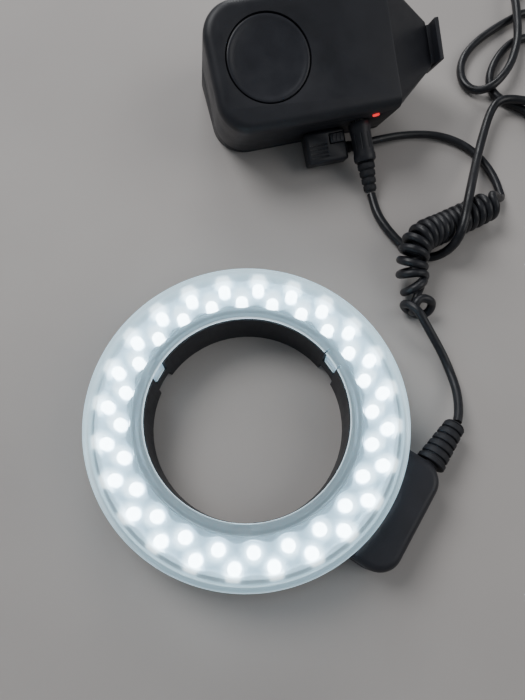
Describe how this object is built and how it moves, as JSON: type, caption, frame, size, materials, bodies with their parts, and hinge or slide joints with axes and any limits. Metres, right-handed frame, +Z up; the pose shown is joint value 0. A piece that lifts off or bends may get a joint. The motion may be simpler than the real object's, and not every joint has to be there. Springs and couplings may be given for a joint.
{
  "type": "ring light",
  "caption": "Lamp ring for a stereo microscope or macro lens, with side pod, curly link cord, battery control box with shoe foot, and DC supply cord.",
  "frame": {"origin": "middle of the footprint of the ring head and control box, without the cords, on the table", "axes": "+Z up, out of the lamp ring's face; +X along the control box towards its shoe foot; +Y from the ring head to the control box"},
  "size_m": [0.3004, 0.2786, 0.0571],
  "materials": {
    "shell_black": "fine moulded texture, satin",
    "dial_black": "smooth satin",
    "inner_black": "plain moulded",
    "screw_steel": "zinc plated",
    "contact_steel": "nickel plated",
    "contact_gold": "polished",
    "board_green": "solder mask",
    "board_white": "white, slightly glossy",
    "lamp_lit": "clear lamp body, lit cold white",
    "diffuser_clear": "translucent moulded acrylic",
    "plug_black": "moulded, satin",
    "relief_black": "soft, satin",
    "cord_black": "smooth PVC jacket",
    "indicator_red": "tinted lens, lit",
    "cell_wrap": "printed sleeve with no lettering"
  },
  "bodies": {
    "light": {"ring_housing": "shell_black", "ring_back_plate": "inner_black", "back_screw_1": "screw_steel", "back_screw_2": "screw_steel", "back_screw_3": "screw_steel", "back_screw_4": "screw_steel", "led_board": "board_white", "led_row_outer": "lamp_lit", "led_row_inner": "lamp_lit", "reflector_tray": "board_white", "pod_lower_shell": "shell_black", "pod_upper_shell": "shell_black", "pod_board": "board_green", "pod_strain_relief": "relief_black", "front_shell": "shell_black", "rear_shell": "shell_black", "shell_screw_1": "screw_steel", "shell_screw_2": "screw_steel", "shell_screw_3": "screw_steel", "shell_screw_4": "screw_steel", "dial_encoder": "inner_black", "control_board": "board_green", "battery_tray": "inner_black", "battery_cell_1": "cell_wrap", "battery_cell_2": "cell_wrap", "battery_cell_3": "cell_wrap", "battery_cell_4": "cell_wrap", "battery_contact_left": "contact_steel", "battery_contact_right": "contact_steel", "door_hinge_pin": "screw_steel", "power_switch": "inner_black", "shoe_foot": "shell_black", "link_plug": "plug_black", "link_plug_boot": "relief_black", "link_socket": "inner_black", "dc_plug": "plug_black", "dc_plug_boot": "relief_black", "dc_plug_barrel": "contact_steel", "dc_jack": "inner_black", "power_indicator": "indicator_red", "ring_lead": "cord_black", "curly_coil": "cord_black", "plug_lead": "cord_black", "dc_cord": "cord_black", "dc_coil": "cord_black", "dc_tail": "cord_black", "usb_plug": "plug_black", "usb_plug_shell": "contact_steel"},
    "diffuser": {"diffuser_cover": "diffuser_clear"},
    "dial": {"control_dial": "dial_black"},
    "battery_door": {"battery_door": "shell_black"},
    "door_latch": {"battery_door_latch": "dial_black"},
    "power_button": {"power_button": "dial_black"},
    "contact_pin": {"shoe_contact_pin": "contact_gold"},
    "plug_tab": {"link_plug_tab": "plug_black"}
  },
  "joints": [
    {"name": "diffuser_lift", "type": "slide", "parent": "light", "child": "diffuser", "axis": [0, 0, 1], "range_m": [0, 0.03]},
    {"name": "dial_turn", "type": "hinge", "parent": "light", "child": "dial", "pos_m": [0.0112, 0.079, 0.04532], "axis": [0, -0.4617, 0.887], "range_deg": [-140, 140]},
    {"name": "battery_door_swing", "type": "hinge", "parent": "light", "child": "battery_door", "pos_m": [0.0276, 0.12022, 0.0298], "axis": [-1, 0, 0], "range_deg": [0, 100]},
    {"name": "door_latch_slide", "type": "slide", "parent": "battery_door", "child": "door_latch", "axis": [1, 0, 0], "range_m": [0, 0.004]},
    {"name": "power_button_press", "type": "slide", "parent": "light", "child": "power_button", "axis": [0, -0.887, -0.4617], "range_m": [0, 0.001], "stiffness_N_per_m": 500},
    {"name": "contact_pin_press", "type": "slide", "parent": "light", "child": "contact_pin", "axis": [-1, 0, 0], "range_m": [0, 0.0007], "stiffness_N_per_m": 300},
    {"name": "plug_tab_press", "type": "slide", "parent": "light", "child": "plug_tab", "axis": [0, 0.4617, -0.887], "range_m": [0, 0.0005], "stiffness_N_per_m": 400}
  ]
}
